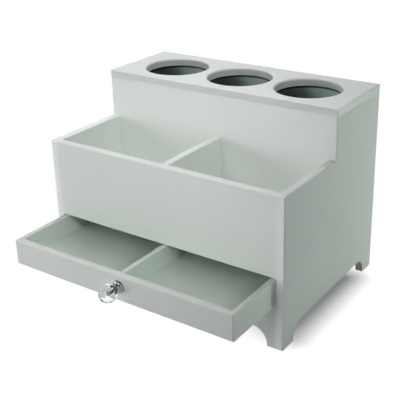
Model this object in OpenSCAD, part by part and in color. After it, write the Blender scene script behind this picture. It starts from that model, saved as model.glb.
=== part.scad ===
// Hair tool holder: a painted board box with a tower of three tool cups,
// an open tray in front of the tower and a shallow drawer under both.
// Millimetres, X to the right, Y to the back, Z up. The origin lies on the floor,
// under the middle of the holder's box with the drawer standing open.

/* [Tool cups] */
// Diameter of the round holes in the tower's top
hole_d = 76.8; // [60:0.2:90]
// Land between neighbouring holes
hole_land = 13.6; // [12:0.2:24]
// Land between an outer hole and the side panel
end_land = 14.7; // [8:0.1:30]
// Land from the row of holes to the boards in front of it and behind it
row_land = 6.1; // [5.5:0.1:15]
// Radius of the rounded rim around a hole
rim_r = 2.5; // [1:0.1:4]
// How much wider than its hole a cup is, at the radius
cup_gap = 1.5; // [0.5:0.1:2]
// Wall of a cup
cup_wall = 1.2; // [0.8:0.1:1.6]
// Width of the flange that lies under the tower's top
cup_flange = 2; // [1:0.1:2.4]
// Radius of the corner between a cup's wall and its floor
cup_corner = 4; // [2:0.5:8]
// Depth of the seat that holds a cup's floor
seat_d = 1.5; // [1:0.1:3]
// Clearance around a cup in its seat
seat_gap = 0.3; // [0.1:0.1:0.6]

/* [Boards] */
// Thickness of the carcass boards
panel_t = 9; // [8:0.5:12]
// Depth of the housings that hold the shelf and the bay's floor
housing_d = 3; // [2:0.5:5]
// Radius of the eased arrises
ease_r = 1.2; // [0.4:0.1:2]
// Depth of the tray, front to back inside
tray_d = 100; // [70:1:130]
// Depth of the tray, from its rim down to its floor
tray_drop = 81.7; // [60:0.1:110]
// How far the tower rises above the tray's rim
tower_rise = 57; // [20:1:90]
// Place of the tray's divider, to the right of the middle
tray_divider_x = 3.5; // [-40:0.5:40]

/* [Feet] */
// Height of the arches between the feet
arch_h = 19.5; // [18:0.5:26]
// Radius of an arch's corners
arch_r = 18; // [6:0.5:18]
// Width of a foot, seen from the front
front_foot_w = 18.5; // [14:0.5:40]
// Width of a foot, seen from the side
side_foot_w = 22; // [12:0.5:40]

/* [Drawer] */
// Height of the bay's floor, on which the drawer slides
bay_z = 51.1; // [42:0.1:70]
// Height of the drawer's opening
opening_h = 30.2; // [24:0.1:60]
// How far the drawer stands open
drawer_open = 77; // [0:1:140]
// Clearance beside the drawer, on each side
side_gap = 0.5; // [0.3:0.1:1.5]
// Clearance above the drawer
top_gap = 0.7; // [0.3:0.1:2]
// Clearance below the drawer
run_gap = 0.3; // [0.2:0.1:1]
// Gap behind the drawer when it is shut
stop_gap = 0.5; // [0.3:0.1:5]
// Thickness of the drawer's front
drawer_front_t = 8; // [7:0.5:12]
// Thickness of the drawer's sides, back and divider
drawer_side_t = 6; // [5:0.5:9]
// Thickness of the drawer's bottom
drawer_bottom_t = 3; // [2:0.5:4]
// Depth of the grooves that hold the drawer's bottom
groove_d = 3; // [1.5:0.5:4]
// Height of those grooves above the drawer's lower edge
groove_up = 3; // [2:0.5:6]
// Place of the drawer's divider, to the right of the middle
drawer_divider_x = 4; // [-40:0.5:40]

/* [Knob] */
// Width of the glass knob
knob_d = 19.5; // [18:0.5:28]
// Length of the glass knob along its axis
knob_l = 17; // [14:0.5:24]
// Number of facets around the glass knob
knob_facets = 10; // [6:1:12]
// Length of the metal neck between rosette and glass
neck_l = 5; // [3:0.5:12]
// Diameter of the neck at its waist
neck_d = 6; // [5.4:0.2:8]
// How far the neck flares at both ends, at the radius
neck_flare = 1.5; // [0.5:0.1:2]
// Diameter of the rosette on the drawer's front
rosette_d = 14; // [12:0.5:20]
// Thickness of the rosette
rosette_t = 3; // [2:0.5:5]
// Diameter of the stud that holds the knob
stud_d = 4; // [3:0.5:4.5]
// Place of the knob, to the right of the middle
knob_x = 5; // [-40:0.5:40]
// Place of the knob above the middle of the drawer's front
knob_up = 2; // [-4:0.5:4]

/* [Hidden] */
$fn = 96;
ease_steps = 4;
past = 1;

// Widths and depths that follow from the cups
hole_r = hole_d / 2;
hole_pitch = hole_d + hole_land;
inner_w = 3 * hole_d + 2 * hole_land + 2 * end_land;
body_w = inner_w + 2 * panel_t;
tower_d = hole_d + 2 * (row_land + panel_t);
step_y = panel_t + tray_d;
body_d = step_y + tower_d;
hole_y = step_y + tower_d / 2;
back_y = body_d - panel_t;
inner_d = back_y - panel_t;

// Heights, from the floor up
opening_z = bay_z + opening_h;
shelf_z = opening_z + panel_t;
tray_h = shelf_z + tray_drop;
body_h = tray_h + tower_rise;
top_z = body_h - panel_t;

// Cup sizes
cup_r = hole_r + cup_gap;
cup_out_r = cup_r + cup_wall;
cup_z = shelf_z - seat_d;
cup_h = top_z - cup_z;

// Drawer sizes, with the drawer shut
drawer_w = inner_w - 2 * side_gap;
drawer_z = bay_z + run_gap;
drawer_h = opening_h - run_gap - top_gap;
drawer_d = back_y - stop_gap;
drawer_in_w = drawer_w - 2 * drawer_side_t;
drawer_in_d = drawer_d - drawer_front_t - drawer_side_t;
drawer_floor_up = groove_up + drawer_bottom_t;

// Knob sizes, along the knob's own axis from the drawer's front
stud_gap = 0.1;
stud_skin = 1.5;
stud_in = drawer_front_t - stud_skin;
stud_out = rosette_t + neck_l;
spigot_d = stud_d + 1.6;
spigot_l = 9;
spigot_gap = 0.1;
spigot_chamfer = 0.8;
glass_z = rosette_t + neck_l;
knob_reach = glass_z + knob_l;
rosette_edge = 0.8;
// Rings of the cut glass: share of its radius, share of its length, turn in facets
knob_rings = [[0.56, 0, 0], [0.97, 0.28, 0], [1, 0.58, 0.5], [0.76, 0.87, 0], [0.5, 1, 0.5]];

// Place of the carcass front, so that the origin is in the middle of the whole
front_y = (drawer_open + knob_reach - body_d) / 2;

paint = "#c2cac5";
cup_paint = "#7f8c87";
board_back = "#b9c1bc";
chrome = "#b9bcbe";
glass = "#dfe8e8";

// Points along an arc about c, from one angle to another
function arc(c, r, from, to) = [
    for (i = [0 : ease_steps])
        let (a = from + (to - from) * i / ease_steps)
        c + r * [cos(a), sin(a)]
];

// One corner of a board's section, eased or square
function corner(c, d, r) = let (a = d[0] > 0 ? (d[1] > 0 ? 180 : 90) : (d[1] > 0 ? 270 : 0))
    r > 0 ? arc(c + r * d, r, a, a + 90) : [c];

// Outline of a board's section, with the radius of each corner:
// lower left, lower right, upper right, upper left
function section(w, h, r) = concat(
    corner([0, 0], [1, 1], r[0]),
    corner([w, 0], [-1, 1], r[1]),
    corner([w, h], [-1, -1], r[2]),
    corner([0, h], [1, -1], r[3])
);

// A section in Y and Z, drawn out along X
module along_x(l) {
    rotate([90, 0, 90]) linear_extrude(l) children();
}

// A section in X and Z, drawn out along Y
module along_y(l) {
    translate([0, l, 0]) rotate([90, 0, 0]) linear_extrude(l) children();
}

// Carcass pieces stand where the carcass stands
module in_carcass() {
    translate([0, front_y, 0]) children();
}

// Drawer pieces are drawn in the shut drawer and stand in the open one
module in_drawer() {
    translate([0, front_y - drawer_open, drawer_z]) children();
}

// The knob's axis points out of the drawer's front
module on_knob_axis() {
    in_drawer() translate([knob_x, 0, drawer_h / 2 + knob_up]) rotate([90, 0, 0]) children();
}

// Opening between two feet, on the floor line
module arch(span) {
    translate([0, -arch_r]) square([span, arch_h]);
    translate([arch_r, -arch_r]) square([span - 2 * arch_r, arch_h + arch_r]);
    for (x = [arch_r, span - arch_r])
        translate([x, arch_h - arch_r]) circle(arch_r);
}

// The arch under the front apron and the back panel
module front_arch_cut() {
    span = body_w - 2 * front_foot_w;
    translate([-span / 2, -past, 0]) along_y(panel_t + 2 * past) arch(span);
}

// A housing across a side panel for a board with its top at z
module housing(z) {
    translate([-past, panel_t, z - panel_t]) cube([housing_d + past, inner_d, panel_t]);
}

// Right side panel: stepped outline, feet, housings, eased on the outside.
// The rim beside the front panel stays square inside, where the two boards meet.
module side_board() {
    e = ease_r;
    difference() {
        union() {
            intersection() {
                along_y(panel_t) polygon(section(panel_t, tray_h, [0, 0, e, 0]));
                linear_extrude(tray_h) polygon(section(panel_t, panel_t, [0, e, 0, 0]));
                along_x(panel_t) polygon(section(panel_t, tray_h, [0, 0, 0, e]));
            }
            translate([0, panel_t, 0])
                along_y(tray_d) polygon(section(panel_t, tray_h, [0, 0, e, e]));
            translate([0, step_y, 0])
                linear_extrude(tray_h) polygon(section(panel_t, tower_d, [0, 0, e, 0]));
            translate([0, step_y, tray_h])
                linear_extrude(top_z - tray_h) polygon(section(panel_t, tower_d, [0, e, e, 0]));
        }
        translate([-past, side_foot_w, 0])
            along_x(panel_t + 2 * past) arch(body_d - 2 * side_foot_w);
        housing(shelf_z);
        housing(bay_z);
    }
}

module side_panel_right() {
    color(paint) in_carcass() translate([inner_w / 2, 0, 0]) side_board();
}

module side_panel_left() {
    color(paint) in_carcass() mirror([1, 0, 0]) translate([inner_w / 2, 0, 0]) side_board();
}

// Front of the tray, above the drawer
module front_panel() {
    color(paint) in_carcass() translate([-inner_w / 2, 0, opening_z])
        along_x(inner_w) polygon(section(panel_t, tray_h - opening_z, [ease_r, 0, ease_r, ease_r]));
}

// Board under the drawer, cut to an arch between the front feet
module front_apron() {
    color(paint) in_carcass() difference() {
        translate([-inner_w / 2, 0, 0])
            along_x(inner_w) polygon(section(panel_t, bay_z, [0, 0, 0, ease_r]));
        front_arch_cut();
    }
}

module back_panel() {
    color(paint) in_carcass() translate([0, back_y, 0]) difference() {
        translate([-inner_w / 2, 0, 0]) cube([inner_w, panel_t, top_z]);
        front_arch_cut();
    }
}

// Front of the tower, standing on the shelf
module tower_riser() {
    color(paint) in_carcass()
        translate([-inner_w / 2, step_y, shelf_z]) cube([inner_w, panel_t, top_z - shelf_z]);
}

// Section of a hole with its rounded rim, from the axis out
module rim_section() {
    polygon(concat(
        [[0, -past], [hole_r, -past]],
        arc([hole_r + rim_r, panel_t - rim_r], rim_r, 180, 90),
        [[hole_r + rim_r, panel_t + past], [0, panel_t + past]]
    ));
}

module tower_top() {
    e = ease_r;
    color(paint) in_carcass() translate([0, 0, top_z]) difference() {
        translate([-body_w / 2, step_y, 0]) intersection() {
            linear_extrude(panel_t) polygon(section(body_w, tower_d, [e, e, e, e]));
            along_x(body_w) polygon(section(tower_d, panel_t, [0, 0, e, e]));
            along_y(tower_d) polygon(section(body_w, panel_t, [0, 0, e, e]));
        }
        for (i = [-1 : 1])
            translate([i * hole_pitch, hole_y, 0]) rotate_extrude() rim_section();
    }
}

// Floor of the tray and of the tower, with a seat for each cup
module mid_shelf() {
    color(paint) in_carcass() difference() {
        translate([-inner_w / 2 - housing_d, panel_t, opening_z])
            cube([inner_w + 2 * housing_d, inner_d, panel_t]);
        for (i = [-1 : 1])
            translate([i * hole_pitch, hole_y, cup_z])
                cylinder(h = seat_d + past, r = cup_out_r + seat_gap);
    }
}

// Board that the drawer slides on
module bay_floor() {
    color(paint) in_carcass()
        translate([-inner_w / 2 - housing_d, panel_t, bay_z - panel_t])
            cube([inner_w + 2 * housing_d, inner_d, panel_t]);
}

module tray_divider() {
    color(paint) in_carcass() translate([tray_divider_x - panel_t / 2, panel_t, shelf_z])
        along_y(tray_d) polygon(section(panel_t, tray_drop, [0, 0, ease_r, ease_r]));
}

// Sheet metal cup with a flange, open at the top, standing in its seat
module tool_cup(i) {
    in_r = cup_corner - cup_wall;
    color(cup_paint) in_carcass() translate([i * hole_pitch, hole_y, cup_z]) rotate_extrude()
        polygon(concat(
            [[0, 0]],
            arc([cup_out_r - cup_corner, cup_corner], cup_corner, -90, 0),
            [
                [cup_out_r, cup_h - cup_wall],
                [cup_out_r + cup_flange, cup_h - cup_wall],
                [cup_out_r + cup_flange, cup_h],
                [cup_r, cup_h]
            ],
            arc([cup_out_r - cup_corner, cup_corner], in_r, 0, -90),
            [[0, cup_wall]]
        ));
}

module tool_cup_left() { tool_cup(-1); }
module tool_cup_middle() { tool_cup(0); }
module tool_cup_right() { tool_cup(1); }

// The drawer's bottom, which also cuts its own grooves
module drawer_bottom_board() {
    translate([-drawer_in_w / 2 - groove_d, drawer_front_t - groove_d, groove_up])
        cube([drawer_in_w + 2 * groove_d, drawer_in_d + 2 * groove_d, drawer_bottom_t]);
}

// Drawer front: eased all round outside, and inside between the drawer's sides
module drawer_front() {
    e = ease_r;
    color(paint) in_drawer() difference() {
        translate([-drawer_w / 2, 0, 0]) intersection() {
            union() {
                for (x = [0, drawer_w - drawer_side_t])
                    translate([x, 0, 0]) along_x(drawer_side_t)
                        polygon(section(drawer_front_t, drawer_h, [e, 0, 0, e]));
                translate([drawer_side_t, 0, 0]) along_x(drawer_in_w)
                    polygon(section(drawer_front_t, drawer_h, [e, 0, e, e]));
            }
            linear_extrude(drawer_h) polygon(section(drawer_w, drawer_front_t, [e, e, 0, 0]));
            along_y(drawer_front_t) polygon(section(drawer_w, drawer_h, [0, 0, e, e]));
        }
        drawer_bottom_board();
        translate([knob_x, stud_in, drawer_h / 2 + knob_up])
            rotate([90, 0, 0]) cylinder(h = stud_in + past, r = stud_d / 2 + stud_gap);
    }
}

// Right side of the drawer, its inner arris square where the back is let in
module drawer_side_board() {
    difference() {
        translate([drawer_in_w / 2, drawer_front_t, 0]) union() {
            along_y(drawer_in_d)
                polygon(section(drawer_side_t, drawer_h, [0, 0, ease_r, ease_r]));
            translate([0, drawer_in_d, 0]) along_y(drawer_side_t)
                polygon(section(drawer_side_t, drawer_h, [0, 0, ease_r, 0]));
        }
        drawer_bottom_board();
    }
}

module drawer_side_right() {
    color(paint) in_drawer() drawer_side_board();
}

module drawer_side_left() {
    color(paint) in_drawer() mirror([1, 0, 0]) drawer_side_board();
}

// Back of the drawer, between its sides
module drawer_back() {
    color(paint) in_drawer() difference() {
        translate([-drawer_in_w / 2, drawer_d - drawer_side_t, 0]) along_x(drawer_in_w)
            polygon(section(drawer_side_t, drawer_h, [0, 0, ease_r, ease_r]));
        drawer_bottom_board();
    }
}

module drawer_bottom() {
    color(board_back) in_drawer() drawer_bottom_board();
}

module drawer_divider() {
    color(paint) in_drawer()
        translate([drawer_divider_x - drawer_side_t / 2, drawer_front_t, drawer_floor_up])
            along_y(drawer_in_d) polygon(section(
                drawer_side_t, drawer_h - drawer_floor_up, [0, 0, ease_r, ease_r]
            ));
}

// Domed metal plate between the knob and the drawer's front
module knob_rosette() {
    bore_r = stud_d / 2 + stud_gap;
    flat_r = neck_d / 2 + neck_flare;
    dome = [
        for (i = [0 : 2 * ease_steps])
            let (a = 45 * i / ease_steps)
            [
                flat_r + (rosette_d / 2 - flat_r) * cos(a),
                rosette_edge + (rosette_t - rosette_edge) * sin(a)
            ]
    ];
    color(chrome) on_knob_axis() rotate_extrude()
        polygon(concat([[bore_r, 0], [rosette_d / 2, 0]], dome, [[bore_r, rosette_t]]));
}

// Waisted metal neck with the spigot that carries the glass
module knob_neck() {
    bore_r = stud_d / 2 + stud_gap;
    spigot_r = spigot_d / 2;
    spigot_z = glass_z + spigot_l;
    waist = [
        for (i = [0 : 4 * ease_steps])
            let (t = i / (4 * ease_steps))
            [neck_d / 2 + neck_flare * pow(2 * t - 1, 2), rosette_t + neck_l * t]
    ];
    color(chrome) on_knob_axis() rotate_extrude()
        polygon(concat(
            [[bore_r, rosette_t]],
            waist,
            [
                [spigot_r, glass_z],
                [spigot_r, spigot_z - spigot_chamfer],
                [spigot_r - spigot_chamfer, spigot_z],
                [0, spigot_z],
                [0, stud_out],
                [bore_r, stud_out]
            ]
        ));
}

// Cut glass knob, a convex body of facets with a blind bore for the spigot
module knob_glass() {
    points = [
        for (ring = knob_rings)
            for (k = [0 : knob_facets - 1])
                let (a = 360 * (k + ring[2]) / knob_facets)
                [
                    ring[0] * knob_d / 2 * cos(a),
                    ring[0] * knob_d / 2 * sin(a),
                    glass_z + ring[1] * knob_l
                ]
    ];
    color(glass) on_knob_axis() difference() {
        hull() polyhedron(points, [[for (i = [0 : len(points) - 1]) i]]);
        translate([0, 0, glass_z - past])
            cylinder(h = spigot_l + spigot_gap + past, r = spigot_d / 2 + spigot_gap);
    }
}

// Stud from the drawer's front through the rosette into the neck
module knob_stud() {
    color(chrome) on_knob_axis()
        translate([0, 0, -stud_in]) cylinder(h = stud_in + stud_out, r = stud_d / 2);
}

side_panel_left();
side_panel_right();
front_panel();
front_apron();
back_panel();
tower_riser();
tower_top();
mid_shelf();
bay_floor();
tray_divider();
tool_cup_left();
tool_cup_middle();
tool_cup_right();
drawer_front();
drawer_side_left();
drawer_side_right();
drawer_back();
drawer_bottom();
drawer_divider();
knob_rosette();
knob_neck();
knob_glass();
knob_stud();
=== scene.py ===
"""Finishes, fine shapes and a studio stage for a hair tool holder with one drawer."""

import math

import bpy
from bpy.props import FloatProperty, FloatVectorProperty, PointerProperty
from bpy.types import Operator, Panel, PropertyGroup
from mathutils import Matrix, Vector


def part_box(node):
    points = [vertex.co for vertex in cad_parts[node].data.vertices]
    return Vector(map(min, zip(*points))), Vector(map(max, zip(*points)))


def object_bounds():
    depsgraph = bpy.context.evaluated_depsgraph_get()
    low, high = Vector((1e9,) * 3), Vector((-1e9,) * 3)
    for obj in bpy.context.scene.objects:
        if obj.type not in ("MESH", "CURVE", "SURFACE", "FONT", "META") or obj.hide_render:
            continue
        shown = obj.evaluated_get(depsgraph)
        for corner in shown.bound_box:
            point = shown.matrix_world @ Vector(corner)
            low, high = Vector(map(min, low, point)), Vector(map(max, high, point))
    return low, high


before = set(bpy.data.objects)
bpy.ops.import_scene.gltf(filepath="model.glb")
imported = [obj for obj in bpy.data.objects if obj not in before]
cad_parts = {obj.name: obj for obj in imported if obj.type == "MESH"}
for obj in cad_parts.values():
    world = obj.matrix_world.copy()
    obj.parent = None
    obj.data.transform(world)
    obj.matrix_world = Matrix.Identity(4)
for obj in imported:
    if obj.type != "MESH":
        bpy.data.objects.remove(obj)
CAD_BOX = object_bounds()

bl_info = {
    "name": "Hair Tool Holder",
    "version": (1, 0, 0),
    "blender": (4, 5, 0),
    "location": "3D View > Sidebar > Tool Holder",
    "description": "Paints a hair tool holder, plates and polishes its knob and sets it on a stage",
    "category": "Object",
}

MM = 0.001
WHITE = (1.0, 1.0, 1.0)

# The floor lies just under the feet, so that it shares no plane with their faces
FLOOR_GAP = 0.05 * MM

# Pieces that share a finish
CARCASS_BOARDS = (
    "side_panel_left", "side_panel_right", "front_panel", "front_apron", "back_panel",
    "tower_riser", "mid_shelf", "bay_floor", "tray_divider",
)
DRAWER_BOARDS = (
    "drawer_front", "drawer_side_left", "drawer_side_right", "drawer_back", "drawer_divider",
)
CUPS = ("tool_cup_left", "tool_cup_middle", "tool_cup_right")
KNOB_METAL = ("knob_rosette", "knob_neck", "knob_stud")

# Paint: its gloss, and the noises that cloud its tone, drift its sheen and dimple it
NOISE_MEAN = 0.5
PAINT_GLOSS = 0.4
CLOUD_NOISE = {"Detail": 4.0, "Roughness": 0.55}
SMUDGE_NOISE = {"Scale": 38.0, "Detail": 3.0, "Distortion": 0.6}
PEEL_NOISE = {"Detail": 1.5, "Roughness": 0.4}

# Eased edges, brighter as rubbed wear and a painted highlight: how squarely a flat face and an
# arris face an axis, how far an upright and a level arris face up, and the rubbed patches' noise
FLAT_FACING = 0.995
ARRIS_FACING = 0.8
UPRIGHT_FACING = 0.02
LEVEL_FACING = 0.2
RUB_NOISE = {"Scale": 55.0, "Detail": 3.0}
RUB_START = 0.35
RUB_FULL = 0.6

# Noise of the fine lines in metal and glass
LINE_NOISE = {"Detail": 3.0, "Roughness": 0.6}

# Cups: gloss, sheen, the stretch, tones and depth of the spun rings, and the painted shade
# under the top board: its tone and lower end as a multiple of its height
CUP_GLOSS = 0.15
CUP_SHEEN = 0.46
CUP_SHEEN_DRIFT = 0.16
RING_STRETCH = (0.02, 0.02, 1.0)
RING_DARK = 0.93
RING_LIGHT = 1.07
RING_DEPTH = 0.02 * MM
UNDER_BOARD_SHADE_TONE = 0.15
UNDER_BOARD_SHADE_FADE = 1.5

# Plating: sheen, and the width, stretch and tone of the polishing lines
PLATE_SHEEN = 0.13
PLATE_SHEEN_DRIFT = 0.1
POLISH_WIDTH = 0.3 * MM
POLISH_STRETCH = (1.0, 0.05, 1.0)
POLISH_TONE = 0.88

# Glass: refraction, clear coat, polishing haze, and how its facets and arrises are found
GLASS_IOR = 1.07
COAT_WEIGHT = 0.35
COAT_IOR = 1.5
COAT_ROUGHNESS = 0.02
HAZE_WIDTH = 0.5 * MM
HAZE_STRETCH = (1.0, 0.2, 0.3)
HAZE_SHEEN = 0.015
HAZE_SHEEN_DRIFT = 0.02
WELD_REACH = 0.001 * MM
FACET_ANGLE = math.radians(0.5)
ARRIS_ANGLE = math.radians(12)
ARRIS_STEPS = 2

# Direction on the floor in which the shadow shows, where it starts and is full as
# shares of its half width, and how far its full part stays inside the carcass's base
SHADOW_WAY = (0.93, 0.36, 0.0)
SHADOW_START = 0.35
SHADOW_FULL = 0.85
SHADOW_INSET_FRONT = (10 * MM, 30 * MM, 0.0)
SHADOW_INSET_REAR = (10 * MM, 45 * MM, 0.0)

# Soft lamps: name, place, target, width in metres, spread in degrees, level, colour
WARM = (1.0, 0.945, 0.985)
COOL = (0.9, 1.0, 0.945)
NEUTRAL = (0.96, 0.975, 0.97)
ROSE = (1.0, 0.82, 0.95)
LAMPS = (
    ("front_lamp", (-0.3, -1.67, 1.12), (0.04, 0.02, 0.18), 0.6, 22, 0.385, WARM),
    ("left_lamp", (-0.8, -0.7, 0.25), (-0.02, -0.05, 0.12), 0.4, 60, 0.612, WARM),
    ("back_lamp", (-0.33, 0.33, 1.0), (0.0, 0.0, 0.115), 0.6, 180, 0.565, WARM),
    ("tray_lamp", (0.6, -0.3, 0.8), (-0.05, 0.0, 0.18), 0.3, 24, 1.15, WARM),
    ("low_lamp", (0.15, -1.3, 0.2), (0.1, -0.06, 0.1), 0.3, 40, 0.049, NEUTRAL),
    ("panel_lamp", (0.05, -0.6, 0.14), (0.13, -0.062, 0.085), 0.2, 40, 0.19, WARM),
    ("drawer_lamp", (1.7, -1.01, 1.25), (-0.12, -0.09, 0.05), 0.45, 24, 0.38, NEUTRAL),
    ("inside_lamp", (0.25, -0.3, 1.0), (0.0, -0.1, 0.04), 0.6, 180, 0.07, NEUTRAL),
    ("cup_lamp", (-0.75, -0.9, 0.9), (0.0, 0.11, 0.21), 0.4, 90, 0.832, COOL),
    ("fill_lamp", (0.05, -0.85, 0.95), (0.03, 0.05, 0.16), 0.6, 90, 0.267, ROSE),
    ("rear_lamp", (0.75, 0.5, 0.12), (0.15, 0.08, 0.12), 0.22, 180, 0.328, COOL),
)

# Pieces that a lamp is kept off, and pieces that a lamp lights alone
DRAWER_INSIDE = ("drawer_side_left", "drawer_back", "drawer_divider", "drawer_bottom")
KEPT_OFF = {
    "left_lamp": DRAWER_INSIDE, "tray_lamp": (*CUPS, *DRAWER_INSIDE, "side_panel_right"),
}
LIT_ALONE = {
    "panel_lamp": ("front_panel", "side_panel_right"), "drawer_lamp": DRAWER_INSIDE,
    "inside_lamp": DRAWER_INSIDE, "cup_lamp": CUPS,
    "fill_lamp": ("tower_riser", "side_panel_left", "side_panel_right"),
}


# Sizes and colours that a user would change

class PaintSettings(PropertyGroup):
    """Satin paint on the boards"""

    colour: FloatVectorProperty(
        name="Colour", description="Sage paint of the boards",
        subtype="COLOR", size=3, min=0, max=1, default=(0.703, 0.78, 0.722),
    )
    # Brighter paint along the eased edges: rubbed wear and a painted highlight
    arris_wear_and_highlight_colour: FloatVectorProperty(
        name="Arris Colour", description="Paint rubbed thin and bright along the eased edges",
        subtype="COLOR", size=3, min=0, max=1, default=(0.78, 0.84, 0.80),
    )
    inside_colour: FloatVectorProperty(
        name="Bottom Colour", description="Paint of the thin board in the drawer's bottom",
        subtype="COLOR", size=3, min=0, max=1, default=(0.695, 0.775, 0.717),
    )
    cloud_size: FloatProperty(
        name="Cloud Size", description="Width of the soft clouds in the paint's tone",
        subtype="DISTANCE", unit="LENGTH", default=70 * MM,
    )
    peel_size: FloatProperty(
        name="Peel Size", description="Width of one dimple of the sprayed film",
        subtype="DISTANCE", unit="LENGTH", default=1.4 * MM,
    )
    peel_depth: FloatProperty(
        name="Peel Depth", description="Depth of the dimples of the sprayed film",
        subtype="DISTANCE", unit="LENGTH", precision=6, default=0.16 * MM,
    )


class MetalSettings(PropertyGroup):
    """Coated cups and plated knob parts"""

    cup_colour: FloatVectorProperty(
        name="Cup Colour", description="Coated sheet metal of the tool cups",
        subtype="COLOR", size=3, min=0, max=1, default=(0.213, 0.264, 0.243),
    )
    plate_colour: FloatVectorProperty(
        name="Plate Colour", description="Bright plating of the knob's rosette, neck and stud",
        subtype="COLOR", size=3, min=0, max=1, default=(0.25, 0.265, 0.26),
    )
    # Height of the painted shade band at the top of each cup, which stands in for the top board's
    # shadow
    cup_under_board_shade: FloatProperty(
        name="Cup Seam", description="Height of the dark seam where a cup meets the top board",
        subtype="DISTANCE", unit="LENGTH", default=2.2 * MM,
    )
    draw_line: FloatProperty(
        name="Draw Line", description="Width of the fine rings that spinning leaves in a cup",
        subtype="DISTANCE", unit="LENGTH", default=0.8 * MM,
    )


class GlassSettings(PropertyGroup):
    """Cut glass of the knob"""

    colour: FloatVectorProperty(
        name="Colour", description="Tint of the clear glass",
        subtype="COLOR", size=3, min=0, max=1, default=(0.965, 0.98, 0.975),
    )
    arris: FloatProperty(
        name="Arris", description="Width of the polished arris between two facets",
        subtype="DISTANCE", unit="LENGTH", default=0.25 * MM,
    )


class StageSettings(PropertyGroup):
    """Floor, lamps and camera"""

    floor_colour: FloatVectorProperty(
        name="Floor Colour", description="Pale studio floor",
        subtype="COLOR", size=3, min=0, max=1, default=(0.9, 0.9, 0.9),
    )
    floor_size: FloatProperty(
        name="Floor Size", description="Width of the studio floor",
        subtype="DISTANCE", unit="LENGTH", default=12.0,
    )
    sky_level: FloatProperty(
        name="Sky Level", description="Level of the even light from all around", default=0.01,
    )
    backdrop_top: FloatProperty(
        name="Backdrop Top", description="Angle above the horizon up to which the backdrop is white",
        subtype="ANGLE", unit="ROTATION", default=math.radians(30),
    )
    ceiling_start: FloatProperty(
        name="Ceiling Start", description="Angle above the horizon at which the dim ceiling starts",
        subtype="ANGLE", unit="ROTATION", default=math.radians(48),
    )
    ceiling_level: FloatProperty(
        name="Ceiling Level", description="Tone of the ceiling in metal and glass",
        subtype="FACTOR", min=0, max=1, default=0.08,
    )
    lamp_level: FloatProperty(
        name="Lamp Level", description="Level of all lamps together", default=1.0,
    )
    shadow_reach: FloatProperty(
        name="Shadow Reach", description="How far the shadow fades out beyond its full part",
        subtype="DISTANCE", unit="LENGTH", default=0.03,
    )
    shadow_depth: FloatProperty(
        name="Shadow Depth", description="Share of the floor's own shade in the shadow",
        subtype="FACTOR", min=0, max=1, default=0.9,
    )
    shadow_rest: FloatProperty(
        name="Shadow Rest", description="Share of the floor's own shade on the lit sides",
        subtype="FACTOR", min=0, max=1, default=0.25,
    )
    camera_place: FloatVectorProperty(
        name="Camera Place", description="Place of the camera",
        subtype="TRANSLATION", unit="LENGTH", size=3, default=(0.4882, -0.6617, 0.4834),
    )
    camera_turn: FloatVectorProperty(
        name="Camera Turn", description="Turn about the upright, tilt down and roll of the camera",
        subtype="EULER", unit="ROTATION", size=3,
        default=(math.radians(34.382), math.radians(21.680), math.radians(-1.127)),
    )
    lens: FloatProperty(
        name="Lens", description="Focal length of the camera in millimetres", default=72.17,
    )
    shift: FloatVectorProperty(
        name="Shift", description="Sideways and upward shift of the frame",
        size=2, default=(-0.0392, -0.0954),
    )


class HolderSettings(PropertyGroup):
    """All settings of the holder"""

    paint: PointerProperty(type=PaintSettings, name="Paint", description="Paint of the boards")
    metal: PointerProperty(type=MetalSettings, name="Metal", description="Cups and knob metal")
    glass: PointerProperty(type=GlassSettings, name="Glass", description="Glass of the knob")
    stage: PointerProperty(type=StageSettings, name="Stage", description="Floor, lamps, camera")


# Node tools

def add_node(tree, kind, place, inputs=None, **settings):
    """A new node of a tree, with its settings and its input values"""
    node = tree.nodes.new(kind)
    node.location = place
    for name, value in settings.items():
        setattr(node, name, value)
    for name, value in (inputs or {}).items():
        node.inputs[name].default_value = value
    return node


def new_group(name, inputs, outputs):
    """A shader node group with its sockets, its input node and its output node"""
    group = bpy.data.node_groups.new(name, "ShaderNodeTree")
    for label, kind, default in inputs:
        socket = group.interface.new_socket(name=label, in_out="INPUT", socket_type=kind)
        socket.default_value = default
    for label, kind in outputs:
        group.interface.new_socket(name=label, in_out="OUTPUT", socket_type=kind)
    entry = add_node(group, "NodeGroupInput", (-900, 0))
    leave = add_node(group, "NodeGroupOutput", (900, 0))
    return group, entry, leave


def place_group(tree, group, place, **inputs):
    """A group placed in a material, with its own values"""
    node = add_node(tree, "ShaderNodeGroup", place)
    node.node_tree = group
    for name, value in inputs.items():
        node.inputs[name.replace("_", " ")].default_value = value
    return node


def opaque(colour, tone=1.0):
    """A colour with full alpha, darker or lighter by a tone"""
    return (*(part * tone for part in colour), 1.0)


def inverse_size(group, entry, label, place):
    """The scale of a texture whose marks are as wide as the group's input"""
    node = add_node(group, "ShaderNodeMath", place, operation="DIVIDE")
    node.inputs[0].default_value = 1.0
    group.links.new(entry.outputs[label], node.inputs[1])
    return node.outputs[0]


def drift_about(group, noise, depth, base, place):
    """A noise's value, centred and scaled by a depth, about a base or about 1 without one"""
    across, up = place
    centred = add_node(group, "ShaderNodeMath", place, operation="SUBTRACT")
    centred.inputs[1].default_value = NOISE_MEAN
    group.links.new(noise.outputs["Fac"], centred.inputs[0])
    about = add_node(group, "ShaderNodeMath", (across + 200, up), operation="MULTIPLY_ADD")
    about.inputs[2].default_value = 1.0
    group.links.new(centred.outputs[0], about.inputs[0])
    group.links.new(depth, about.inputs[1])
    if base:
        group.links.new(base, about.inputs[2])
    return about.outputs[0]


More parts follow.
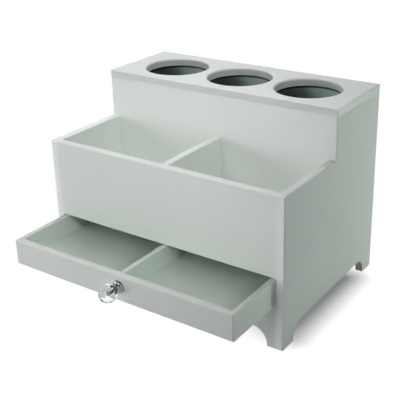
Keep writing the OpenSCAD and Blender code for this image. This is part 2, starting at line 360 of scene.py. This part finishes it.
def paint_film_group():
    """Sprayed paint: soft clouds of tone and sheen, and dimples like orange peel"""
    group, entry, leave = new_group(
        "Paint Film",
        [
            ("Color", "NodeSocketColor", (0.6, 0.6, 0.6, 1)),
            ("Cloud Size", "NodeSocketFloat", 0.07),
            ("Cloud Depth", "NodeSocketFloat", 0.07),
            ("Peel Size", "NodeSocketFloat", 0.0014),
            ("Satin", "NodeSocketFloat", 0.42),
            ("Satin Drift", "NodeSocketFloat", 0.1),
        ],
        [
            ("Color", "NodeSocketColor"),
            ("Roughness", "NodeSocketFloat"),
            ("Height", "NodeSocketFloat"),
        ],
    )
    links = group.links
    place = add_node(group, "ShaderNodeTexCoord", (-900, -300)).outputs["Object"]

    clouds = add_node(group, "ShaderNodeTexNoise", (-400, 200), CLOUD_NOISE)
    links.new(place, clouds.inputs["Vector"])
    links.new(inverse_size(group, entry, "Cloud Size", (-600, 200)), clouds.inputs["Scale"])
    tone = drift_about(group, clouds, entry.outputs["Cloud Depth"], None, (-200, 200))
    toned = add_node(group, "ShaderNodeHueSaturation", (300, 200))
    links.new(tone, toned.inputs["Value"])
    links.new(entry.outputs["Color"], toned.inputs["Color"])
    links.new(toned.outputs["Color"], leave.inputs["Color"])

    smudges = add_node(group, "ShaderNodeTexNoise", (-400, -100), SMUDGE_NOISE)
    links.new(place, smudges.inputs["Vector"])
    satin = drift_about(
        group, smudges, entry.outputs["Satin Drift"], entry.outputs["Satin"], (-200, -100)
    )
    links.new(satin, leave.inputs["Roughness"])

    peel = add_node(group, "ShaderNodeTexNoise", (-400, -400), PEEL_NOISE)
    links.new(place, peel.inputs["Vector"])
    links.new(inverse_size(group, entry, "Peel Size", (-600, -400)), peel.inputs["Scale"])
    links.new(peel.outputs["Fac"], leave.inputs["Height"])
    return group


def arris_wear_and_highlight_group():
    """Mask of the eased edges of square boards, where the surface faces along no axis: there the
    paint is brighter, as rubbed wear and a painted highlight
    """
    group, entry, leave = new_group(
        "Arris Mask",
        [("Upright", "NodeSocketFloat", 1.0), ("Break Up", "NodeSocketFloat", 0.5)],
        [("Mask", "NodeSocketFloat")],
    )
    links = group.links
    coords = add_node(group, "ShaderNodeTexCoord", (-900, -300))
    facing = add_node(group, "ShaderNodeVectorMath", (-700, 100), operation="ABSOLUTE")
    links.new(coords.outputs["Normal"], facing.inputs[0])
    axes = add_node(group, "ShaderNodeSeparateXYZ", (-500, 100))
    links.new(facing.outputs[0], axes.inputs[0])
    wider = add_node(group, "ShaderNodeMath", (-300, 150), operation="MAXIMUM")
    links.new(axes.outputs["X"], wider.inputs[0])
    links.new(axes.outputs["Y"], wider.inputs[1])
    most = add_node(group, "ShaderNodeMath", (-100, 100), operation="MAXIMUM")
    links.new(wider.outputs[0], most.inputs[0])
    links.new(axes.outputs["Z"], most.inputs[1])
    eased = add_node(
        group, "ShaderNodeMapRange", (100, 100),
        {"From Min": FLAT_FACING, "From Max": ARRIS_FACING, "To Min": 0.0, "To Max": 1.0},
        interpolation_type="SMOOTHSTEP",
    )
    links.new(most.outputs[0], eased.inputs["Value"])

    level = add_node(
        group, "ShaderNodeMapRange", (100, -150),
        {"From Min": UPRIGHT_FACING, "From Max": LEVEL_FACING, "To Max": 1.0},
    )
    links.new(axes.outputs["Z"], level.inputs["Value"])
    links.new(entry.outputs["Upright"], level.inputs["To Min"])
    rubbed = add_node(group, "ShaderNodeTexNoise", (-100, -350), RUB_NOISE)
    links.new(coords.outputs["Object"], rubbed.inputs["Vector"])
    patches = add_node(
        group, "ShaderNodeMapRange", (300, -350),
        {"From Min": RUB_START, "From Max": RUB_FULL, "To Max": 1.0},
    )
    links.new(rubbed.outputs["Fac"], patches.inputs["Value"])
    links.new(entry.outputs["Break Up"], patches.inputs["To Min"])
    shared = add_node(group, "ShaderNodeMath", (400, 50), operation="MULTIPLY")
    links.new(eased.outputs[0], shared.inputs[0])
    links.new(level.outputs[0], shared.inputs[1])
    mask = add_node(group, "ShaderNodeMath", (600, 0), operation="MULTIPLY")
    links.new(shared.outputs[0], mask.inputs[0])
    links.new(patches.outputs[0], mask.inputs[1])
    links.new(mask.outputs[0], leave.inputs["Mask"])
    return group


def fine_lines_group():
    """Fine lines drawn out along an axis or two, such as spinning or polishing leaves"""
    group, entry, leave = new_group(
        "Fine Lines",
        [
            ("Line Width", "NodeSocketFloat", 0.0008),
            ("Stretch", "NodeSocketVector", (0.02, 0.02, 1.0)),
            ("Sheen", "NodeSocketFloat", 0.3),
            ("Sheen Drift", "NodeSocketFloat", 0.15),
        ],
        [("Lines", "NodeSocketFloat"), ("Roughness", "NodeSocketFloat")],
    )
    links = group.links
    coords = add_node(group, "ShaderNodeTexCoord", (-900, -300))
    drawn = add_node(group, "ShaderNodeVectorMath", (-600, -200), operation="MULTIPLY")
    links.new(coords.outputs["Object"], drawn.inputs[0])
    links.new(entry.outputs["Stretch"], drawn.inputs[1])
    lines = add_node(group, "ShaderNodeTexNoise", (-300, -100), LINE_NOISE)
    links.new(drawn.outputs[0], lines.inputs["Vector"])
    links.new(inverse_size(group, entry, "Line Width", (-600, 100)), lines.inputs["Scale"])
    links.new(lines.outputs["Fac"], leave.inputs["Lines"])
    sheen = drift_about(
        group, lines, entry.outputs["Sheen Drift"], entry.outputs["Sheen"], (100, -100)
    )
    links.new(sheen, leave.inputs["Roughness"])
    return group


# Materials

def new_material(name):
    """An empty node material with its shader and its output"""
    material = bpy.data.materials.new(name)
    material.use_nodes = True
    tree = material.node_tree
    tree.nodes.clear()
    shader = add_node(tree, "ShaderNodeBsdfPrincipled", (600, 0))
    output = add_node(tree, "ShaderNodeOutputMaterial", (900, 0))
    tree.links.new(shader.outputs["BSDF"], output.inputs["Surface"])
    return material, tree, shader


def bump(tree, shader, height, depth, place):
    """Relief of a given depth in metres on a shader's normal"""
    node = add_node(tree, "ShaderNodeBump", place, {"Strength": 1.0, "Distance": depth})
    tree.links.new(height, node.inputs["Height"])
    tree.links.new(node.outputs["Normal"], shader.inputs["Normal"])


def paint_material(name, colour, settings, groups, upright):
    """Satin paint, brighter along the arrises as rubbed wear and a painted highlight, with a share of
    that on upright ones
    """
    material, tree, shader = new_material(name)
    shader.inputs["Specular IOR Level"].default_value = PAINT_GLOSS
    film = place_group(
        tree, groups["film"], (-200, 0), Color=opaque(colour),
        Cloud_Size=settings.cloud_size, Peel_Size=settings.peel_size,
    )
    arris = place_group(tree, groups["arris"], (-200, 300), Upright=upright)
    # The arrises take the brighter paint: rubbed wear and a painted highlight
    worn_and_highlit = add_node(tree, "ShaderNodeMix", (200, 200), data_type="RGBA")
    tree.links.new(arris.outputs["Mask"], worn_and_highlit.inputs["Factor"])
    tree.links.new(film.outputs["Color"], worn_and_highlit.inputs["A"])
    worn_and_highlit.inputs["B"].default_value = opaque(settings.arris_wear_and_highlight_colour)
    tree.links.new(worn_and_highlit.outputs["Result"], shader.inputs["Base Color"])
    tree.links.new(film.outputs["Roughness"], shader.inputs["Roughness"])
    bump(tree, shader, film.outputs["Height"], settings.peel_depth, (200, -200))
    return material


def cup_material(settings, groups):
    """Coated sheet metal with fine spun rings and a painted shade band under the brim, where the top
    board's shadow falls
    """
    material, tree, shader = new_material("Cup Metal")
    shader.inputs["Specular IOR Level"].default_value = CUP_GLOSS
    spun = place_group(
        tree, groups["lines"], (-300, -100), Line_Width=settings.draw_line,
        Stretch=RING_STRETCH, Sheen=CUP_SHEEN, Sheen_Drift=CUP_SHEEN_DRIFT,
    )
    tone = add_node(tree, "ShaderNodeMix", (200, 200), data_type="RGBA")
    tone.inputs["A"].default_value = opaque(settings.cup_colour, RING_DARK)
    tone.inputs["B"].default_value = opaque(settings.cup_colour, RING_LIGHT)
    tree.links.new(spun.outputs["Lines"], tone.inputs["Factor"])
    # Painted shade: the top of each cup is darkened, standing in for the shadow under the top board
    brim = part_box(CUPS[0])[1].z
    coords = add_node(tree, "ShaderNodeTexCoord", (-500, 400))
    height = add_node(tree, "ShaderNodeSeparateXYZ", (-300, 400))
    tree.links.new(coords.outputs["Object"], height.inputs[0])
    under_board_shade = add_node(
        tree, "ShaderNodeMapRange", (0, 400),
        {"From Min": brim - UNDER_BOARD_SHADE_FADE * settings.cup_under_board_shade, "From Max": brim - settings.cup_under_board_shade},
    )
    tree.links.new(height.outputs["Z"], under_board_shade.inputs["Value"])
    with_under_board_shade = add_node(tree, "ShaderNodeMix", (400, 300), data_type="RGBA")
    with_under_board_shade.inputs["B"].default_value = opaque(settings.cup_colour, UNDER_BOARD_SHADE_TONE)
    tree.links.new(under_board_shade.outputs[0], with_under_board_shade.inputs["Factor"])
    tree.links.new(tone.outputs["Result"], with_under_board_shade.inputs["A"])
    tree.links.new(with_under_board_shade.outputs["Result"], shader.inputs["Base Color"])
    tree.links.new(spun.outputs["Roughness"], shader.inputs["Roughness"])
    bump(tree, shader, spun.outputs["Lines"], RING_DEPTH, (200, -200))
    return material


def plate_material(settings, groups):
    """Bright plating with polishing lines"""
    material, tree, shader = new_material("Bright Plate")
    shader.inputs["Metallic"].default_value = 1.0
    polish = place_group(
        tree, groups["lines"], (-300, -100), Line_Width=POLISH_WIDTH,
        Stretch=POLISH_STRETCH, Sheen=PLATE_SHEEN, Sheen_Drift=PLATE_SHEEN_DRIFT,
    )
    tone = add_node(tree, "ShaderNodeMix", (200, 200), data_type="RGBA")
    tone.inputs["A"].default_value = opaque(settings.plate_colour, POLISH_TONE)
    tone.inputs["B"].default_value = opaque(settings.plate_colour)
    tree.links.new(polish.outputs["Lines"], tone.inputs["Factor"])
    tree.links.new(tone.outputs["Result"], shader.inputs["Base Color"])
    tree.links.new(polish.outputs["Roughness"], shader.inputs["Roughness"])
    return material


def glass_material(settings, groups):
    """Clear glass with a trace of polishing haze"""
    material, tree, shader = new_material("Cut Glass")
    shader.inputs["Base Color"].default_value = opaque(settings.colour)
    shader.inputs["Transmission Weight"].default_value = 1.0
    shader.inputs["IOR"].default_value = GLASS_IOR
    shader.inputs["Coat Weight"].default_value = COAT_WEIGHT
    shader.inputs["Coat IOR"].default_value = COAT_IOR
    shader.inputs["Coat Roughness"].default_value = COAT_ROUGHNESS
    polish = place_group(
        tree, groups["lines"], (-300, -100), Line_Width=HAZE_WIDTH,
        Stretch=HAZE_STRETCH, Sheen=HAZE_SHEEN, Sheen_Drift=HAZE_SHEEN_DRIFT,
    )
    tree.links.new(polish.outputs["Roughness"], shader.inputs["Roughness"])
    return material


# Object tools

def holder_settings():
    """The holder's settings in this scene"""
    return bpy.context.scene.tool_holder


def shared_groups():
    """The node groups that the materials share, built once"""
    makers = {
        "film": ("Paint Film", paint_film_group), "arris": ("Arris Mask", arris_wear_and_highlight_group),
        "lines": ("Fine Lines", fine_lines_group),
    }
    built = bpy.data.node_groups
    return {key: built.get(name) or make() for key, (name, make) in makers.items()}


def board_paint(name):
    """One of the paint materials, built when it is first asked for"""
    settings = holder_settings().paint
    kinds = {
        "Board Paint": (settings.colour, 1.0), "Top Paint": (settings.colour, 0.0),
        "Bottom Paint": (settings.inside_colour, 1.0),
    }
    colour, upright = kinds[name]
    return bpy.data.materials.get(name) or paint_material(
        name, colour, settings, shared_groups(), upright
    )


def finish_node(name, material):
    """Gives a CAD node its material"""
    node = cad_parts[name]
    node.data.materials.clear()
    node.data.materials.append(material)
    return node


# Operators

class HOLDER_OT_carcass(Operator):
    """Paint the boards of the carcass"""

    bl_idname = "holder.carcass"
    bl_label = "Carcass Boards"

    def execute(self, context):
        for name in CARCASS_BOARDS:
            finish_node(name, board_paint("Board Paint"))
        finish_node("tower_top", board_paint("Top Paint"))
        return {"FINISHED"}


class HOLDER_OT_drawer(Operator):
    """Paint the boards of the drawer"""

    bl_idname = "holder.drawer"
    bl_label = "Drawer Boards"

    def execute(self, context):
        for name in DRAWER_BOARDS:
            finish_node(name, board_paint("Board Paint"))
        finish_node("drawer_bottom", board_paint("Bottom Paint"))
        return {"FINISHED"}


class HOLDER_OT_cups(Operator):
    """Coat the three tool cups"""

    bl_idname = "holder.cups"
    bl_label = "Tool Cups"

    def execute(self, context):
        coat = cup_material(holder_settings().metal, shared_groups())
        for name in CUPS:
            finish_node(name, coat)
        return {"FINISHED"}


class HOLDER_OT_knob(Operator):
    """Plate the knob's metal and polish its glass"""

    bl_idname = "holder.knob"
    bl_label = "Knob"

    def execute(self, context):
        settings = holder_settings()
        plate = plate_material(settings.metal, shared_groups())
        for name in KNOB_METAL:
            finish_node(name, plate)
        glass = finish_node("knob_glass", glass_material(settings.glass, shared_groups()))
        weld = glass.modifiers.new("Weld", "WELD")
        weld.merge_threshold = WELD_REACH
        facets = glass.modifiers.new("Facets", "DECIMATE")
        facets.decimate_type = "DISSOLVE"
        facets.angle_limit = FACET_ANGLE
        arris = glass.modifiers.new("Arris", "BEVEL")
        arris.width = settings.glass.arris
        arris.segments = ARRIS_STEPS
        arris.limit_method = "ANGLE"
        arris.angle_limit = ARRIS_ANGLE
        return {"FINISHED"}


class HOLDER_OT_stage(Operator):
    """Set the floor, the light and the camera"""

    bl_idname = "holder.stage"
    bl_label = "Stage"

    def execute(self, context):
        settings = holder_settings().stage
        make_floor(settings)
        make_sky(settings)
        make_lamps(settings)
        make_camera(settings)
        context.scene.view_settings.view_transform = "Standard"
        return {"FINISHED"}


# Stage

def link_object(name, data):
    """A new object in the scene"""
    made = bpy.data.objects.new(name, data)
    bpy.context.scene.collection.objects.link(made)
    return made


def seen_directly(tree, place):
    """A value of 1 for rays that the camera, a mirror or glass sends out"""
    path = add_node(tree, "ShaderNodeLightPath", place)
    either = add_node(tree, "ShaderNodeMath", (place[0] + 200, place[1]), operation="MAXIMUM")
    tree.links.new(path.outputs["Is Camera Ray"], either.inputs[0])
    tree.links.new(path.outputs["Is Glossy Ray"], either.inputs[1])
    any_of = add_node(tree, "ShaderNodeMath", (place[0] + 400, place[1]), operation="MAXIMUM")
    tree.links.new(either.outputs[0], any_of.inputs[0])
    tree.links.new(path.outputs["Is Transmission Ray"], any_of.inputs[1])
    return any_of.outputs[0]


def lit_share(tree, settings):
    """1 where the floor shows white, less where it shows its own shade beside the carcass"""
    low, high = carcass_base()
    low += Vector(SHADOW_INSET_FRONT)
    high -= Vector(SHADOW_INSET_REAR)
    centre = (low + high) / 2
    half = (high - low) / 2
    coords = add_node(tree, "ShaderNodeTexCoord", (-1700, 0))
    place = add_node(tree, "ShaderNodeVectorMath", (-1500, 0), operation="SUBTRACT")
    place.inputs[1].default_value = centre
    tree.links.new(coords.outputs["Object"], place.inputs[0])
    folded = add_node(tree, "ShaderNodeVectorMath", (-1300, 100), operation="ABSOLUTE")
    tree.links.new(place.outputs[0], folded.inputs[0])
    beyond = add_node(tree, "ShaderNodeVectorMath", (-1100, 100), operation="SUBTRACT")
    beyond.inputs[1].default_value = half
    tree.links.new(folded.outputs[0], beyond.inputs[0])
    outside = add_node(tree, "ShaderNodeVectorMath", (-900, 100), operation="MAXIMUM")
    tree.links.new(beyond.outputs[0], outside.inputs[0])
    away = add_node(tree, "ShaderNodeVectorMath", (-700, 100), operation="LENGTH")
    tree.links.new(outside.outputs[0], away.inputs[0])
    near = add_node(
        tree, "ShaderNodeMapRange", (-500, 100),
        {"From Min": 0.0, "From Max": settings.shadow_reach, "To Min": 1.0, "To Max": 0.0},
    )
    tree.links.new(away.outputs["Value"], near.inputs["Value"])
    leeward = add_node(tree, "ShaderNodeVectorMath", (-1300, -150), operation="DOT_PRODUCT")
    leeward.inputs[1].default_value = SHADOW_WAY
    tree.links.new(place.outputs[0], leeward.inputs[0])
    side = add_node(
        tree, "ShaderNodeMapRange", (-900, -150),
        {"From Min": SHADOW_START * half.x, "From Max": SHADOW_FULL * half.x,
         "To Min": settings.shadow_rest, "To Max": settings.shadow_depth},
        interpolation_type="SMOOTHSTEP",
    )
    tree.links.new(leeward.outputs["Value"], side.inputs["Value"])
    shade = add_node(tree, "ShaderNodeMath", (-300, 0), operation="MULTIPLY")
    tree.links.new(near.outputs[0], shade.inputs[0])
    tree.links.new(side.outputs[0], shade.inputs[1])
    share = add_node(tree, "ShaderNodeMath", (-100, 0), operation="SUBTRACT")
    share.inputs[0].default_value = 1.0
    tree.links.new(shade.outputs[0], share.inputs[1])
    return share.outputs[0]


def carcass_base():
    """Corners of the carcass on the floor"""
    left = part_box("side_panel_left")
    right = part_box("side_panel_right")
    low = Vector((left[0].x, left[0].y, 0.0))
    high = Vector((right[1].x, right[1].y, 0.0))
    return low, high


def floor_material(settings):
    """Pale floor that keeps the shadow near the holder and turns white further out"""
    material = bpy.data.materials.new("Studio Floor")
    material.use_nodes = True
    tree = material.node_tree
    tree.nodes.clear()
    matt = add_node(tree, "ShaderNodeBsdfDiffuse", (0, 200), {"Color": opaque(settings.floor_colour)})
    white = add_node(tree, "ShaderNodeEmission", (0, 0), {"Color": opaque(WHITE), "Strength": 1.0})
    lit = lit_share(tree, settings)
    shown = add_node(tree, "ShaderNodeMath", (-200, -200), operation="MULTIPLY")
    tree.links.new(lit, shown.inputs[0])
    tree.links.new(seen_directly(tree, (-900, -300)), shown.inputs[1])
    mix = add_node(tree, "ShaderNodeMixShader", (300, 100))
    tree.links.new(shown.outputs[0], mix.inputs["Fac"])
    tree.links.new(matt.outputs[0], mix.inputs[1])
    tree.links.new(white.outputs[0], mix.inputs[2])
    output = add_node(tree, "ShaderNodeOutputMaterial", (600, 100))
    tree.links.new(mix.outputs[0], output.inputs["Surface"])
    return material


def make_floor(settings):
    """A square floor under the holder"""
    half = settings.floor_size / 2
    ground = CAD_BOX[0].z - FLOOR_GAP
    mesh = bpy.data.meshes.new("studio_floor")
    ways = ((-1, -1), (1, -1), (1, 1), (-1, 1))
    corners = [(across * half, along * half, ground) for across, along in ways]
    mesh.from_pydata(corners, [], [(0, 1, 2, 3)])
    floor = link_object("studio_floor", mesh)
    mesh.materials.append(floor_material(settings))


def make_sky(settings):
    """Even light from all around, seen as a white backdrop that fades to a dim ceiling"""
    world = bpy.data.worlds.new("Studio")
    bpy.context.scene.world = world
    world.use_nodes = True
    tree = world.node_tree
    tree.nodes.clear()
    light = add_node(tree, "ShaderNodeBackground", (0, 200), {"Strength": settings.sky_level})
    light.inputs["Color"].default_value = opaque(WHITE)
    white = add_node(tree, "ShaderNodeBackground", (0, 0), {"Strength": 1.0})
    direction = add_node(tree, "ShaderNodeTexCoord", (-800, 0))
    height = add_node(tree, "ShaderNodeSeparateXYZ", (-600, 0))
    tree.links.new(direction.outputs["Generated"], height.inputs[0])
    dome = add_node(
        tree, "ShaderNodeMapRange", (-300, 0),
        {"From Min": math.sin(settings.backdrop_top), "From Max": math.sin(settings.ceiling_start),
         "To Min": 1.0, "To Max": settings.ceiling_level},
        interpolation_type="SMOOTHSTEP",
    )
    tree.links.new(height.outputs["Z"], dome.inputs["Value"])
    tree.links.new(dome.outputs[0], white.inputs["Color"])
    mix = add_node(tree, "ShaderNodeMixShader", (300, 100))
    tree.links.new(seen_directly(tree, (-600, -200)), mix.inputs["Fac"])
    tree.links.new(light.outputs[0], mix.inputs[1])
    tree.links.new(white.outputs[0], mix.inputs[2])
    output = add_node(tree, "ShaderNodeOutputWorld", (600, 100))
    tree.links.new(mix.outputs[0], output.inputs["Surface"])


def aim(obj, place, target):
    """Puts a lamp at a place and turns it to a target"""
    obj.location = place
    obj.rotation_euler = (Vector(target) - Vector(place)).to_track_quat("-Z", "Y").to_euler()


def soft_lamp(name, place, target, size, spread, level, colour):
    """A square soft lamp. At a level of 1 it shows a facing surface in its own colour"""
    distance = (Vector(place) - Vector(target)).length
    half_spread = math.radians(spread) / 2
    narrowing = 1 - half_spread / math.tan(half_spread)
    data = bpy.data.lights.new(name, "AREA")
    data.shape = "SQUARE"
    data.size = size
    data.spread = 2 * half_spread
    data.color = colour
    data.energy = level * narrowing * (math.pi * distance) ** 2
    lamp = link_object(name, data)
    lamp.visible_camera = False
    aim(lamp, place, target)
    return lamp


def link_lamp(lamp, pieces, state):
    """Keeps a lamp off some pieces, or lets it light them alone"""
    linked = bpy.data.collections.new("linked_to_" + lamp.name)
    for name in pieces:
        linked.objects.link(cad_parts[name])
    for member in linked.collection_objects:
        member.light_linking.link_state = state
    lamp.light_linking.receiver_collection = linked


def make_lamps(settings):
    """The soft lamps around the holder"""
    for name, place, target, size, spread, level, colour in LAMPS:
        lamp = soft_lamp(name, place, target, size, spread, level * settings.lamp_level, colour)
        if name in KEPT_OFF:
            link_lamp(lamp, KEPT_OFF[name], "EXCLUDE")
        if name in LIT_ALONE:
            link_lamp(lamp, LIT_ALONE[name], "INCLUDE")


def make_camera(settings):
    """The camera at the photograph's place and angle"""
    turn, tilt, roll = settings.camera_turn
    level = math.cos(tilt)
    ahead = Vector((-math.sin(turn) * level, math.cos(turn) * level, -math.sin(tilt)))
    right = Vector((math.cos(turn), math.sin(turn), 0.0))
    up = right.cross(ahead)
    rolled_right = math.cos(roll) * right + math.sin(roll) * up
    rolled_up = math.cos(roll) * up - math.sin(roll) * right
    axes = Matrix((rolled_right, rolled_up, -ahead)).transposed().to_4x4()
    data = bpy.data.cameras.new("camera")
    data.lens = settings.lens
    data.shift_x, data.shift_y = settings.shift
    camera = link_object("camera", data)
    camera.matrix_world = Matrix.Translation(Vector(settings.camera_place)) @ axes
    bpy.context.scene.camera = camera


# Panel and registration

class HOLDER_PT_panel(Panel):
    """Steps that dress the holder"""

    bl_idname = "HOLDER_PT_panel"
    bl_label = "Hair Tool Holder"
    bl_space_type = "VIEW_3D"
    bl_region_type = "UI"
    bl_category = "Tool Holder"

    def draw(self, context):
        for step in STEPS:
            self.layout.operator(step.bl_idname)


STEPS = (
    HOLDER_OT_stage, HOLDER_OT_carcass, HOLDER_OT_drawer, HOLDER_OT_cups, HOLDER_OT_knob,
)
CLASSES = (
    PaintSettings, MetalSettings, GlassSettings, StageSettings, HolderSettings,
    *STEPS, HOLDER_PT_panel,
)


def register():
    """Registers the classes and the scene's settings"""
    for cls in CLASSES:
        bpy.utils.register_class(cls)
    bpy.types.Scene.tool_holder = PointerProperty(type=HolderSettings)


def unregister():
    """Removes the scene's settings and the classes"""
    del bpy.types.Scene.tool_holder
    for cls in reversed(CLASSES):
        bpy.utils.unregister_class(cls)


def main():
    """Dresses the holder step by step"""
    register()
    for step in (
        bpy.ops.holder.stage, bpy.ops.holder.carcass, bpy.ops.holder.drawer,
        bpy.ops.holder.cups, bpy.ops.holder.knob,
    ):
        step()


if __name__ == "__main__":
    main()
